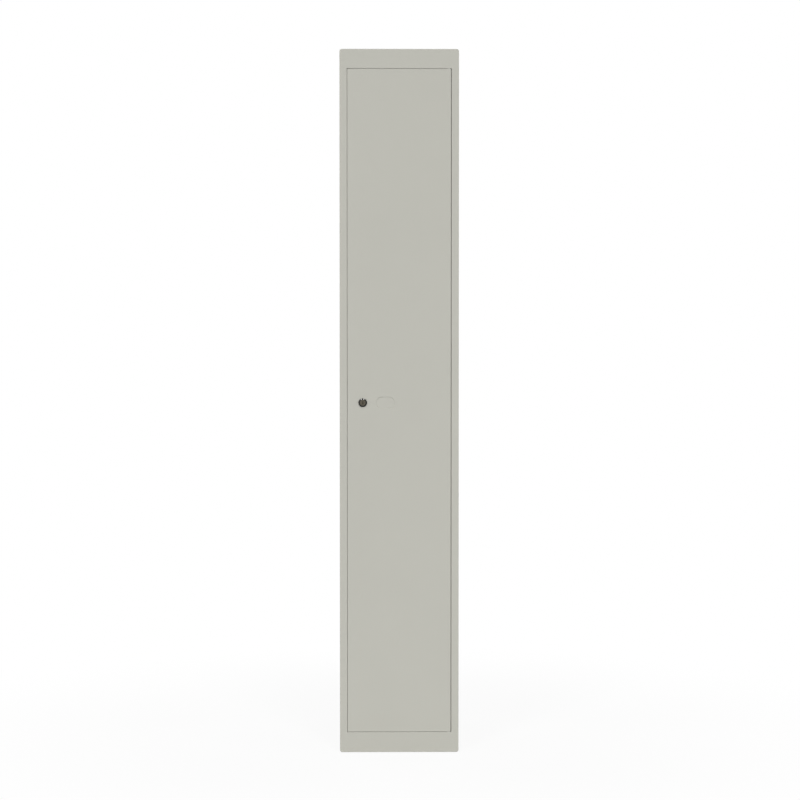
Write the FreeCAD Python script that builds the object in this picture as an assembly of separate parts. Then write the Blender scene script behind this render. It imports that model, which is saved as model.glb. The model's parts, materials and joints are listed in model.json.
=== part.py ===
"""Single-door steel clothes locker.

A welded carcass of folded sheet carries an inset door on two concealed pivots,
a cam lock, a hat shelf and a double coat hook.

Units are millimetres. Seen from the front, +X is to the right, +Y goes into the
locker and +Z is up. The origin is on the floor under the middle of the carcass.
"""

import FreeCAD
import Part
import math
import os

from FreeCAD import Vector

X_AXIS = Vector(1, 0, 0)
Y_AXIS = Vector(0, 1, 0)
Z_AXIS = Vector(0, 0, 1)

# Overall size
WIDTH = 305.0
DEPTH = 457.0
HEIGHT = 1802.0

# Sheet metal
SHEET = 0.9
BEND = 1.3
CORNER_RADIUS = 6.0

# Clearances and working allowances
FIT = 0.05
TOLERANCE = 0.005
OVERSHOOT = 1.0

# Carcass
STILE_WIDTH = 19.0
HEADER_HEIGHT = 50.0
PLINTH_HEIGHT = 52.0
STOP_WIDTH = 12.0
REAR_FLANGE = 19.0
FOOT_FLANGE = 20.0
FLOOR_FLANGE = 16.0
LAP = 10.0
LAP_INSET = 14.0
LIP_CLEARANCE = 0.3

# Back panel vents and wall fixings
VENT_COUNT = 5
VENT_LENGTH = 60.0
VENT_HEIGHT = 5.0
VENT_PITCH = 14.0
VENT_INSET = 90.0
WALL_HOLE_RADIUS = 4.0
WALL_HOLE_SPACING = 200.0
WALL_HOLE_DROP = 40.0

# Door
DOOR_DEPTH = 16.0
DOOR_GAP = 0.6
HINGE_GAP = 1.2
DOOR_CORNER = 2.4
DOOR_LIP = 12.0
STOP_CLEARANCE = 2.0
STIFFENER_OFFSET = 40.0
STIFFENER_CROWN = 34.0
STIFFENER_FLANGE = 13.0
STIFFENER_DEPTH = 12.0
STIFFENER_END = 16.0

# Label recess pressed into the door
RECESS_LENGTH = 48.0
RECESS_HEIGHT = 30.5
RECESS_DEPTH = 1.0
RECESS_SLOPE = 0.6
RECESS_FROM_LOCK = 58.0

# Pivot hinges
HINGE_EDGE = 6.0
HINGE_SETBACK = 4.4
PIN_RADIUS = 1.8
PIN_HEAD_RADIUS = 4.2
PIN_HEAD = 1.6
PIN_BITE = 6.0
PIN_TIP = 0.8
BUSH_WALL = 0.6
BUSH_FLANGE_RADIUS = 4.3
BUSH_TAIL = 0.6
TOP_PLAY = 0.15
PLATE_LENGTH = 30.0
PLATE_THICKNESS = 3.0
PLATE_CLEARANCE = 0.1

# Cam lock
LOCK_BACKSET = 39.4
LOCK_HEIGHT = 900.0
BEZEL_RADIUS = 11.0
BEZEL_PROUD = 3.2
BEZEL_RIM = 1.75
BEZEL_LAND_RADIUS = 7.9
BEZEL_ROUND = 0.6
BARREL_RADIUS = 9.2
BARREL_FLAT = 8.1
BARREL_CLEARANCE = 0.15
PLUG_RADIUS = 6.4
PLUG_HEAD_RADIUS = 7.4
PLUG_HEAD = 1.6
PLUG_RECESS = 0.5
KEYWAY_WIDTH = 2.4
KEYWAY_HEIGHT = 8.4
KEYWAY_DEPTH = 17.5
WAFER_COUNT = 5
WAFER_PITCH = 2.7
WAFER_START = 5.0
WAFER_THICKNESS = 0.9
WAFER_WIDTH = 4.0
WAFER_LENGTH = 11.6
WAFER_WINDOW_MARGIN = 0.6
TAIL_SIDE = 6.0
NUT_ACROSS_FLATS = 23.0
NUT_THICKNESS = 4.0
WASHER_THICKNESS = 1.0
WASHER_RADIUS = 12.5
CAM_REACH = 37.5
CAM_ROOT_RADIUS = 9.0
CAM_TIP_WIDTH = 13.0
CAM_THICKNESS = 2.0
CAM_CLEARANCE = 0.6
CAM_TURN = 90.0
CAM_NOTCH_RADIUS = 6.6
LUG_RADIUS = 6.9
LUG_ANGLE = 20.0
LUG_PLAY = 2.0
CAM_SCREW_RADIUS = 2.0
CAM_SCREW_HEAD_RADIUS = 5.0
CAM_SCREW_HEAD = 2.4
CAM_SCREW_LENGTH = 7.0
CROSS_ARM = 5.0
CROSS_WIDTH = 1.1
CROSS_DEPTH = 1.2
KEEPER_THICKNESS = 1.5
KEEPER_LENGTH = 70.0
KEEPER_WIDTH = 10.0
KEEPER_ROUND = 3.0

# Door buffers
BUFFER_RADIUS = 5.0
BUFFER_STEM_RADIUS = 2.4
BUFFER_BULB_RADIUS = 3.3
BUFFER_BULB = 3.0
BUFFER_CLEARANCE = 0.3
BUFFER_INSET = 110.0

# Hat shelf and coat hook
SHELF_DROP = 300.0
SHELF_SETBACK = 40.0
SHELF_FRONT_FLANGE = 25.0
SHELF_HEM = 12.0
SHELF_SIDE_FLANGE = 18.0
HOOK_PLATE_LENGTH = 50.0
HOOK_PLATE_WIDTH = 20.0
HOOK_PLATE_THICKNESS = 2.5
HOOK_PLATE_ROUND = 8.0
HOOK_STRIP = 2.5
HOOK_WIDTH = 16.0
HOOK_STEM = 26.0
HOOK_INNER_RADIUS = 14.0
HOOK_SWEEP_ANGLE = 150.0
HOOK_TIP_ROUND = 7.0
HOOK_RIVET_SPACING = 36.0
RIVET_RADIUS = 2.4
RIVET_HEAD_RADIUS = 4.6
RIVET_HEAD = 1.5
RIVET_SET_RADIUS = 3.6

# Planes and lines that the pieces share
FRONT = -DEPTH / 2
BACK = DEPTH / 2
WALL = WIDTH / 2 - SHEET
OPENING_SIDE = WIDTH / 2 - STILE_WIDTH
OPENING_TOP = HEIGHT - HEADER_HEIGHT
OPENING_BOTTOM = PLINTH_HEIGHT
DOOR_LEFT = -OPENING_SIDE + DOOR_GAP
DOOR_RIGHT = OPENING_SIDE - HINGE_GAP
DOOR_BOTTOM = OPENING_BOTTOM + DOOR_GAP
DOOR_TOP = OPENING_TOP - DOOR_GAP
DOOR_REAR = FRONT + DOOR_DEPTH
STOP_FACE = DOOR_REAR + STOP_CLEARANCE
STOP_REAR = STOP_FACE + SHEET
BACK_PANEL_FRONT = BACK - 2 * SHEET
FLOOR_REAR = BACK_PANEL_FRONT - SHEET
HINGE_X = DOOR_RIGHT - HINGE_EDGE
HINGE_Y = FRONT + HINGE_SETBACK
BUSH_RADIUS = PIN_RADIUS + FIT + BUSH_WALL
LOCK_X = DOOR_LEFT + LOCK_BACKSET
CAM_FRONT = STOP_REAR + KEEPER_THICKNESS + CAM_CLEARANCE
CAM_REAR = CAM_FRONT + CAM_THICKNESS
BARREL_REAR = CAM_FRONT - LIP_CLEARANCE
BEZEL_FACE = FRONT - BEZEL_PROUD
PLUG_FACE = BEZEL_FACE + PLUG_RECESS
STOP_MIDDLE = -OPENING_SIDE + STOP_WIDTH / 2
SHELF_TOP = HEIGHT - SHELF_DROP
SHELF_FRONT = FRONT + SHELF_SETBACK
SHELF_REAR = BACK_PANEL_FRONT
HOOK_Y = (SHELF_FRONT + SHELF_REAR) / 2


def block(x_range, y_range, z_range):
    """A box between two places on each axis."""
    low = Vector(min(x_range), min(y_range), min(z_range))
    high = Vector(max(x_range), max(y_range), max(z_range))
    size = high - low
    return Part.makeBox(size.x, size.y, size.z, low)


def rod(radius, start, end):
    """A cylinder from one point to another."""
    along = end - start
    return Part.makeCylinder(radius, along.Length, start, along)


def hole(radius, place, direction, depth=SHEET):
    """The cutter for a round hole that enters a wall at a place and comes out on its far side."""
    return rod(radius, place - direction * OVERSHOOT, place + direction * (depth + OVERSHOOT))


def edges_between(shape, axis, low, high):
    """The edges of a shape whose ends all lie between two places on an axis."""
    return [
        edge
        for edge in shape.Edges
        if all(low <= vertex.Point.dot(axis) <= high for vertex in edge.Vertexes)
    ]


def edges_at(shape, axis, place):
    """The edges of a shape that lie at one place on an axis."""
    return edges_between(shape, axis, place - TOLERANCE, place + TOLERANCE)


def edges_along(shape, axis):
    """The straight edges of a shape that run along an axis."""
    return [
        edge
        for edge in shape.Edges
        if edge.tangentAt(edge.FirstParameter).cross(axis).Length < TOLERANCE
    ]


def rounded_prism(x_range, y_range, z_range, corner, edge_round):
    """A box with its four edges along Y rounded, and the rims of both its ends rounded too."""
    body = block(x_range, y_range, z_range)
    body = body.makeFillet(corner, edges_along(body, Y_AXIS))
    for end in y_range:
        body = body.makeFillet(edge_round, edges_at(body, Y_AXIS, end))
    return body


def formed_shell(x_range, y_range, z_range, corner, edge_round):
    """A hollow box of folded sheet, closed on all sides, with rounded folds."""
    outside = rounded_prism(x_range, y_range, z_range, corner, edge_round)
    inside = rounded_prism(
        (x_range[0] + SHEET, x_range[1] - SHEET),
        (y_range[0] + SHEET, y_range[1] - SHEET),
        (z_range[0] + SHEET, z_range[1] - SHEET),
        corner - SHEET,
        edge_round - SHEET,
    )
    return outside.cut(inside)


def rounded_run(points, radii):
    """Lines along a run of points, with an arc of the given radius at each inner point."""
    edges = []
    start = points[0]
    for before, corner, after, radius in zip(points, points[1:], points[2:], radii):
        to_before = (before - corner).normalize()
        to_after = (after - corner).normalize()
        half_angle = to_before.getAngle(to_after) / 2
        reach = radius / math.tan(half_angle)
        arc_start = corner + to_before * reach
        arc_end = corner + to_after * reach
        bisector = (to_before + to_after).normalize()
        arc_middle = corner + bisector * (radius / math.sin(half_angle) - radius)
        edges.append(Part.LineSegment(start, arc_start).toShape())
        edges.append(Part.Arc(arc_start, arc_middle, arc_end).toShape())
        start = arc_end
    edges.append(Part.LineSegment(start, points[-1]).toShape())
    return edges


def folded_section(points, normal):
    """Section of a folded sheet: the points run along one face, and the sheet lies to their left.

    Left is as seen with the normal pointing at the viewer. Each fold has the
    common outside radius.
    """
    headings = [(b - a).normalize() for a, b in zip(points, points[1:])]
    lefts = [normal.cross(heading) for heading in headings]
    offset = [points[0] + lefts[0] * SHEET]
    face_radii = []
    offset_radii = []
    for index in range(1, len(points) - 1):
        before, after = lefts[index - 1], lefts[index]
        mitre = (before + after) * (SHEET / (1 + before.dot(after)))
        offset.append(points[index] + mitre)
        turns_left = headings[index - 1].cross(headings[index]).dot(normal) > 0
        face_radii.append(BEND if turns_left else BEND - SHEET)
        offset_radii.append(BEND - SHEET if turns_left else BEND)
    offset.append(points[-1] + lefts[-1] * SHEET)
    edges = rounded_run(points, face_radii) + rounded_run(offset, offset_radii)
    edges.append(Part.LineSegment(points[0], offset[0]).toShape())
    edges.append(Part.LineSegment(points[-1], offset[-1]).toShape())
    return Part.Face(Part.Wire(Part.__sortEdges__(edges)))


def stadium(length, height, centre):
    """Wire of a slot with round ends, lying across Y, centred on a point."""
    radius = height / 2
    straight = length / 2 - radius
    corners = {
        (sx, sz): centre + Vector(sx * straight, 0, sz * radius) for sx in (-1, 1) for sz in (-1, 1)
    }
    edges = [
        Part.LineSegment(corners[-1, 1], corners[1, 1]).toShape(),
        Part.Arc(corners[1, 1], centre + X_AXIS * (length / 2), corners[1, -1]).toShape(),
        Part.LineSegment(corners[1, -1], corners[-1, -1]).toShape(),
        Part.Arc(corners[-1, -1], centre - X_AXIS * (length / 2), corners[-1, 1]).toShape(),
    ]
    return Part.Wire(edges)


def side_panel():
    """Left side: wall, front stile with its return and door stop, and flanges at the top, foot and rear."""
    shell = formed_shell(
        (-WIDTH / 2, WIDTH / 2), (FRONT, BACK), (0, HEIGHT), CORNER_RADIUS, BEND
    )
    panel = shell.common(block((-WIDTH, -OPENING_SIDE), (-DEPTH, DEPTH), (-HEIGHT, 2 * HEIGHT)))
    fold_start = -OPENING_SIDE - 2 * BEND
    opening_span = (OPENING_BOTTOM, OPENING_TOP)
    panel = panel.cut(block((fold_start, -OPENING_SIDE), (FRONT, FRONT + SHEET), opening_span))
    stop_run = [
        Vector(fold_start, FRONT, OPENING_BOTTOM),
        Vector(-OPENING_SIDE, FRONT, OPENING_BOTTOM),
        Vector(-OPENING_SIDE, STOP_FACE, OPENING_BOTTOM),
        Vector(-OPENING_SIDE + STOP_WIDTH, STOP_FACE, OPENING_BOTTOM),
    ]
    stop = folded_section(stop_run, Z_AXIS).extrude(Z_AXIS * (OPENING_TOP - OPENING_BOTTOM))
    return panel.fuse(stop).removeSplitter()


def buffer_heights():
    """Heights of the rubber buffers on the lock side's stop."""
    return [OPENING_BOTTOM + BUFFER_INSET, OPENING_TOP - BUFFER_INSET]


def left_side_panel():
    """The lock side's panel, pierced for the buffers."""
    panel = side_panel()
    for height in buffer_heights():
        panel = panel.cut(hole(BUFFER_STEM_RADIUS + FIT, Vector(STOP_MIDDLE, STOP_FACE, height), Y_AXIS))
    return panel


def right_side_panel():
    """The hinge side's panel."""
    return side_panel().mirror(Vector(0, 0, 0), X_AXIS)


def top_panel():
    """Top sheet folded into the header, its return and the upper door stop, with laps under the sides."""
    run = [
        Vector(-OPENING_SIDE, BACK, HEIGHT - REAR_FLANGE),
        Vector(-OPENING_SIDE, BACK, HEIGHT),
        Vector(-OPENING_SIDE, FRONT, HEIGHT),
        Vector(-OPENING_SIDE, FRONT, OPENING_TOP),
        Vector(-OPENING_SIDE, STOP_FACE, OPENING_TOP),
        Vector(-OPENING_SIDE, STOP_FACE, OPENING_TOP - STOP_WIDTH),
    ]
    panel = folded_section(run, X_AXIS).extrude(X_AXIS * (2 * OPENING_SIDE))
    stop_end = OPENING_SIDE - STOP_WIDTH - LIP_CLEARANCE
    for side in (-1, 1):
        across = (side * (OPENING_SIDE - LAP), side * (OPENING_SIDE + LAP))
        panel = panel.cut(
            block((side * stop_end, side * WIDTH), (STOP_FACE - BEND, BACK / 2), (0, OPENING_TOP))
        )
        top_lap = block(
            across, (FRONT + LAP_INSET, BACK - LAP_INSET), (HEIGHT - 2 * SHEET, HEIGHT - SHEET)
        )
        header_lap = block(
            across, (FRONT + SHEET, FRONT + 2 * SHEET), (OPENING_TOP + LAP_INSET, HEIGHT - LAP_INSET)
        )
        panel = panel.fuse([top_lap, header_lap])
    panel = panel.cut(hole(PIN_RADIUS + FIT, Vector(HINGE_X, HINGE_Y, OPENING_TOP), Z_AXIS))
    return panel.removeSplitter()


def floor_pan():
    """Compartment floor folded into the plinth and its foot flange, with flanges at the rear and sides."""
    run = [
        Vector(-OPENING_SIDE, FLOOR_REAR, PLINTH_HEIGHT + FLOOR_FLANGE),
        Vector(-OPENING_SIDE, FLOOR_REAR, PLINTH_HEIGHT),
        Vector(-OPENING_SIDE, FRONT, PLINTH_HEIGHT),
        Vector(-OPENING_SIDE, FRONT, 0),
        Vector(-OPENING_SIDE, FRONT + FOOT_FLANGE, 0),
    ]
    pan = folded_section(run, X_AXIS).extrude(X_AXIS * (2 * OPENING_SIDE))
    wing_front = STOP_REAR + BEND
    wing_run = [
        Vector(-WALL, wing_front, PLINTH_HEIGHT - FLOOR_FLANGE),
        Vector(-WALL, wing_front, PLINTH_HEIGHT),
        Vector(WALL, wing_front, PLINTH_HEIGHT),
        Vector(WALL, wing_front, PLINTH_HEIGHT - FLOOR_FLANGE),
    ]
    wing_depth = FLOOR_REAR - BEND - wing_front
    pan = pan.fuse(folded_section(wing_run, Y_AXIS).extrude(Y_AXIS * wing_depth))
    for side in (-1, 1):
        lap = block(
            (side * (OPENING_SIDE - LAP), side * (OPENING_SIDE + LAP)),
            (FRONT + SHEET, FRONT + 2 * SHEET),
            (LAP_INSET, PLINTH_HEIGHT - LAP_INSET),
        )
        pan = pan.fuse(lap)
    pan = pan.cut(hole(PIN_RADIUS + FIT, Vector(HINGE_X, HINGE_Y, PLINTH_HEIGHT), -Z_AXIS))
    return pan.removeSplitter()


def back_panel():
    """Back sheet inside the rear flanges, with two banks of vent slots and two wall-fixing holes."""
    inset = BEND + FIT
    half_width = WIDTH / 2 - inset
    panel = block((-half_width, half_width), (BACK_PANEL_FRONT, BACK - SHEET), (inset, HEIGHT - inset))
    panel = panel.makeFillet(CORNER_RADIUS - SHEET, edges_along(panel, Y_AXIS))
    bank_height = (VENT_COUNT - 1) * VENT_PITCH
    for bank_bottom in (PLINTH_HEIGHT + VENT_INSET, OPENING_TOP - VENT_INSET - bank_height):
        for index in range(VENT_COUNT):
            centre = Vector(0, BACK_PANEL_FRONT - OVERSHOOT, bank_bottom + index * VENT_PITCH)
            slot = Part.Face(stadium(VENT_LENGTH, VENT_HEIGHT, centre))
            panel = panel.cut(slot.extrude(Y_AXIS * (SHEET + 2 * OVERSHOOT)))
    for side in (-1, 1):
        place = Vector(side * WALL_HOLE_SPACING / 2, BACK_PANEL_FRONT, OPENING_TOP - WALL_HOLE_DROP)
        panel = panel.cut(hole(WALL_HOLE_RADIUS, place, Y_AXIS))
    return panel


def hat_shelf():
    """Shelf with a hemmed front edge and down-turned flanges that are welded to the sides and back."""
    side_end = WALL - BEND - SHEET
    run = [
        Vector(-side_end, SHELF_REAR, SHELF_TOP - SHELF_SIDE_FLANGE),
        Vector(-side_end, SHELF_REAR, SHELF_TOP),
        Vector(-side_end, SHELF_FRONT, SHELF_TOP),
        Vector(-side_end, SHELF_FRONT, SHELF_TOP - SHELF_FRONT_FLANGE),
        Vector(-side_end, SHELF_FRONT + SHELF_HEM, SHELF_TOP - SHELF_FRONT_FLANGE),
    ]
    shelf = folded_section(run, X_AXIS).extrude(X_AXIS * (2 * side_end))
    flange_front = SHELF_FRONT + BEND + SHEET
    flange_rear = SHELF_REAR - BEND - SHEET
    side_run = [
        Vector(-WALL, flange_front, SHELF_TOP - SHELF_SIDE_FLANGE),
        Vector(-WALL, flange_front, SHELF_TOP),
        Vector(WALL, flange_front, SHELF_TOP),
        Vector(WALL, flange_front, SHELF_TOP - SHELF_SIDE_FLANGE),
    ]
    sides = folded_section(side_run, Y_AXIS).extrude(Y_AXIS * (flange_rear - flange_front))
    shelf = shelf.fuse(sides)
    for place in hook_rivet_places():
        shelf = shelf.cut(hole(RIVET_RADIUS + FIT, place, -Z_AXIS))
    return shelf.removeSplitter()


def hook_rivet_places():
    """Points on the shelf's top face over the two hook rivets."""
    half = HOOK_RIVET_SPACING / 2
    return [Vector(side * half, HOOK_Y, SHELF_TOP) for side in (-1, 1)]


def hook_arm(side, stem_foot, stem_top):
    """One strip of the coat hook: down from the plate, round and up again to a rounded tip."""
    section = block(
        (0, side * HOOK_STRIP),
        (HOOK_Y - HOOK_WIDTH / 2, HOOK_Y + HOOK_WIDTH / 2),
        (stem_foot, stem_top),
    )
    base = next(face for face in section.Faces if face.CenterOfMass.z < stem_foot + TOLERANCE)
    centre = Vector(side * (HOOK_STRIP + HOOK_INNER_RADIUS), HOOK_Y, stem_foot)
    bow = base.revolve(centre, Y_AXIS * -side, HOOK_SWEEP_ANGLE)
    tip = [
        edge
        for edge in bow.Edges
        if abs(edge.Length - HOOK_STRIP) < TOLERANCE and edge.CenterOfMass.z < stem_foot - TOLERANCE
    ]
    return section.fuse(bow.makeFillet(HOOK_TIP_ROUND, tip))


def coat_hook():
    """Pressed double hook: a plate under the shelf and two strips back to back, curving up to the sides."""
    plate_top = SHELF_TOP - SHEET
    plate_bottom = plate_top - HOOK_PLATE_THICKNESS
    plate = block(
        (-HOOK_PLATE_LENGTH / 2, HOOK_PLATE_LENGTH / 2),
        (HOOK_Y - HOOK_PLATE_WIDTH / 2, HOOK_Y + HOOK_PLATE_WIDTH / 2),
        (plate_bottom, plate_top),
    )
    plate = plate.makeFillet(HOOK_PLATE_ROUND, edges_along(plate, Z_AXIS))
    for place in hook_rivet_places():
        plate = plate.cut(hole(RIVET_RADIUS + FIT, place, -Z_AXIS, SHEET + HOOK_PLATE_THICKNESS))
    stem_foot = plate_bottom - HOOK_STEM
    arms = [hook_arm(side, stem_foot, plate_bottom) for side in (-1, 1)]
    return plate.fuse(arms).removeSplitter()


def dome(radius, height, base, direction):
    """A shallow domed head standing on a base point."""
    ball_radius = (radius**2 + height**2) / (2 * height)
    ball = Part.makeSphere(ball_radius, base + direction * (height - ball_radius))
    return ball.common(rod(radius + ball_radius, base, base + direction * (2 * height)))


def coat_hook_rivets():
    """Two rivets through the shelf and the hook's plate, domed on top and bevelled below."""
    grip = SHEET + HOOK_PLATE_THICKNESS
    rivets = []
    for place in hook_rivet_places():
        foot = place - Z_AXIS * grip
        shank = rod(RIVET_RADIUS, foot, place)
        head = dome(RIVET_HEAD_RADIUS, RIVET_HEAD, place, Z_AXIS)
        set_head = Part.makeCone(RIVET_HEAD_RADIUS, RIVET_SET_RADIUS, RIVET_HEAD, foot, -Z_AXIS)
        rivets.append(shank.fuse([head, set_head]).removeSplitter())
    return Part.makeCompound(rivets)


def lock_keeper():
    """Strip behind the lock side's stop, where the cam bears."""
    half = KEEPER_LENGTH / 2
    strip = block(
        (STOP_MIDDLE - KEEPER_WIDTH / 2, STOP_MIDDLE + KEEPER_WIDTH / 2),
        (STOP_REAR, STOP_REAR + KEEPER_THICKNESS),
        (LOCK_HEIGHT - half, LOCK_HEIGHT + half),
    )
    return strip.makeFillet(KEEPER_ROUND, edges_along(strip, Y_AXIS))


def door_buffers():
    """Rubber push-in buffers: a domed pad in front of the stop, a stem through it and a bulb behind."""
    pad = STOP_CLEARANCE - BUFFER_CLEARANCE
    buffers = []
    for height in buffer_heights():
        seat = Vector(STOP_MIDDLE, STOP_FACE, height)
        rear = seat + Y_AXIS * SHEET
        head = dome(BUFFER_RADIUS, pad, seat, -Y_AXIS)
        stem = rod(BUFFER_STEM_RADIUS, seat, rear)
        bulb = Part.makeCone(
            BUFFER_BULB_RADIUS, BUFFER_STEM_RADIUS / 2, BUFFER_BULB, rear, Y_AXIS
        )
        buffers.append(head.fuse([stem, bulb]).removeSplitter())
    return Part.makeCompound(buffers)


def hinge_pin(seat, up):
    """A pivot pin: its head bears on the far face of the frame sheet and its tip enters the door."""
    head_base = seat - up * SHEET
    tip = seat + up * (DOOR_GAP + SHEET + PLATE_THICKNESS + PIN_BITE)
    shank = rod(PIN_RADIUS, head_base, tip - up * PIN_TIP)
    point = Part.makeCone(PIN_RADIUS, PIN_RADIUS - PIN_TIP / 2, PIN_TIP, tip - up * PIN_TIP, up)
    head = rod(PIN_HEAD_RADIUS, head_base - up * PIN_HEAD, head_base)
    flat = FRONT + BEND + FIT
    head = head.cut(block((-WIDTH, WIDTH), (flat - DEPTH, flat), (-HEIGHT, 2 * HEIGHT)))
    return shank.fuse([point, head]).removeSplitter()


def lower_hinge_pin():
    """The pin that stands in the floor pan and carries the door."""
    return hinge_pin(Vector(HINGE_X, HINGE_Y, OPENING_BOTTOM), Z_AXIS)


def upper_hinge_pin():
    """The pin dropped through the header's return."""
    return hinge_pin(Vector(HINGE_X, HINGE_Y, OPENING_TOP), -Z_AXIS)


def hinge_bush(door_edge, outward, flange_thickness):
    """A flanged nylon bush pressed into the end of the door, with its flange in the gap."""
    rim = door_edge + outward * flange_thickness
    tail = door_edge - outward * (SHEET + PLATE_THICKNESS + BUSH_TAIL)
    bush = rod(BUSH_RADIUS, tail, door_edge).fuse(rod(BUSH_FLANGE_RADIUS, door_edge, rim))
    bore = rod(PIN_RADIUS + FIT, tail - outward * OVERSHOOT, rim + outward * OVERSHOOT)
    return bush.cut(bore).removeSplitter()


def lower_hinge_bush():
    """The bush that stands on the floor pan."""
    return hinge_bush(Vector(HINGE_X, HINGE_Y, DOOR_BOTTOM), -Z_AXIS, DOOR_GAP)


def upper_hinge_bush():
    """The bush under the header, with a little play above it."""
    return hinge_bush(Vector(HINGE_X, HINGE_Y, DOOR_TOP), Z_AXIS, DOOR_GAP - TOP_PLAY)


def pivot_plate(door_edge, outward):
    """A plate welded inside the end of the door, where the bush sits."""
    inner_face = door_edge - outward * SHEET
    clear = SHEET + PLATE_CLEARANCE
    right = DOOR_RIGHT - clear
    heights = (inner_face.z, (inner_face - outward * PLATE_THICKNESS).z)
    plate = block(
        (right - PLATE_LENGTH, right), (FRONT + clear, DOOR_REAR - clear), heights
    )
    folds = edges_at(plate, Z_AXIS, inner_face.z) + edges_along(plate, Z_AXIS)
    plate = plate.makeChamfer(DOOR_CORNER - SHEET, folds)
    return plate.cut(hole(BUSH_RADIUS + FIT, inner_face, -outward, PLATE_THICKNESS))


def lower_pivot_plate():
    """The plate at the foot of the door."""
    return pivot_plate(Vector(HINGE_X, HINGE_Y, DOOR_BOTTOM), -Z_AXIS)


def upper_pivot_plate():
    """The plate at the head of the door."""
    return pivot_plate(Vector(HINGE_X, HINGE_Y, DOOR_TOP), Z_AXIS)


def recess_body(depth, grow):
    """The tapered body of the label recess, grown all round by a margin."""
    centre = Vector(LOCK_X + RECESS_FROM_LOCK, FRONT, LOCK_HEIGHT)
    mouth = stadium(RECESS_LENGTH + 2 * grow, RECESS_HEIGHT + 2 * grow, centre)
    narrowing = 2 * (RECESS_SLOPE - grow)
    floor = stadium(
        RECESS_LENGTH - narrowing, RECESS_HEIGHT - narrowing, centre + Y_AXIS * depth
    )
    return Part.makeLoft([mouth, floor], True, True)


def barrel_outline(clearance):
    """Face of the lock barrel's section: a circle with two flats."""
    radius = BARREL_RADIUS + clearance
    flat = BARREL_FLAT + clearance
    circle = rod(radius, Vector(LOCK_X, 0, LOCK_HEIGHT), Vector(LOCK_X, 1, LOCK_HEIGHT))
    kept = block(
        (LOCK_X - radius, LOCK_X + radius), (0, 1), (LOCK_HEIGHT - flat, LOCK_HEIGHT + flat)
    )
    return circle.common(kept)


def barrel_prism(clearance, y_range):
    """The lock barrel's outer form between two places along Y."""
    section = barrel_outline(clearance).Faces
    base = next(face for face in section if abs(face.normalAt(0, 0).y + 1) < TOLERANCE)
    prism = base.extrude(Y_AXIS * (y_range[1] - y_range[0]))
    prism.translate(Vector(0, y_range[0], 0))
    return prism


def door_skin():
    """Door pan: front sheet with flanges all round and lips at the rear, pierced for the lock and bushes."""
    shell = formed_shell(
        (DOOR_LEFT, DOOR_RIGHT), (FRONT, DOOR_REAR), (DOOR_BOTTOM, DOOR_TOP), DOOR_CORNER, BEND
    )
    window = block(
        (DOOR_LEFT + DOOR_LIP, DOOR_RIGHT - DOOR_LIP),
        (DOOR_REAR - BEND, DOOR_REAR + SHEET),
        (DOOR_BOTTOM + DOOR_LIP, DOOR_TOP - DOOR_LIP),
    )
    skin = shell.cut(window)
    backing = recess_body(RECESS_DEPTH + SHEET, SHEET)
    skin = skin.fuse(backing).cut(recess_body(RECESS_DEPTH, 0))
    skin = skin.cut(barrel_prism(BARREL_CLEARANCE, (FRONT - OVERSHOOT, FRONT + SHEET + OVERSHOOT)))
    for edge, inward in ((DOOR_BOTTOM, Z_AXIS), (DOOR_TOP, -Z_AXIS)):
        skin = skin.cut(hole(BUSH_RADIUS + FIT, Vector(HINGE_X, HINGE_Y, edge), inward))
    return skin.removeSplitter()


def door_stiffener():
    """Hat-section channel welded up the inside of the door."""
    half = STIFFENER_CROWN / 2
    near = FRONT + SHEET
    far = near + STIFFENER_DEPTH
    foot = DOOR_BOTTOM + STIFFENER_END
    centre = (DOOR_LEFT + DOOR_RIGHT) / 2 + STIFFENER_OFFSET
    run = [
        Vector(centre - half - STIFFENER_FLANGE, near, foot),
        Vector(centre - half, near, foot),
        Vector(centre - half, far, foot),
        Vector(centre + half, far, foot),
        Vector(centre + half, near, foot),
        Vector(centre + half + STIFFENER_FLANGE, near, foot),
    ]
    return folded_section(run, Z_AXIS).extrude(Z_AXIS * (DOOR_TOP - STIFFENER_END - foot))


def lock_axis(y):
    """The point on the lock's axis at a place along Y."""
    return Vector(LOCK_X, y, LOCK_HEIGHT)


def ring_sector(radii, y_range, middle, spread):
    """Part of a ring round the lock's axis, with its angles measured from +Z towards +X in degrees."""
    inner, outer = radii
    section = Part.Face(
        Part.makePolygon(
            [
                lock_axis(y) + Z_AXIS * radius
                for radius, y in (
                    (inner, y_range[0]),
                    (outer, y_range[0]),
                    (outer, y_range[1]),
                    (inner, y_range[1]),
                    (inner, y_range[0]),
                )
            ]
        )
    )
    section.rotate(lock_axis(0), Y_AXIS, middle - spread / 2)
    return section.revolve(lock_axis(0), Y_AXIS, spread)


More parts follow.
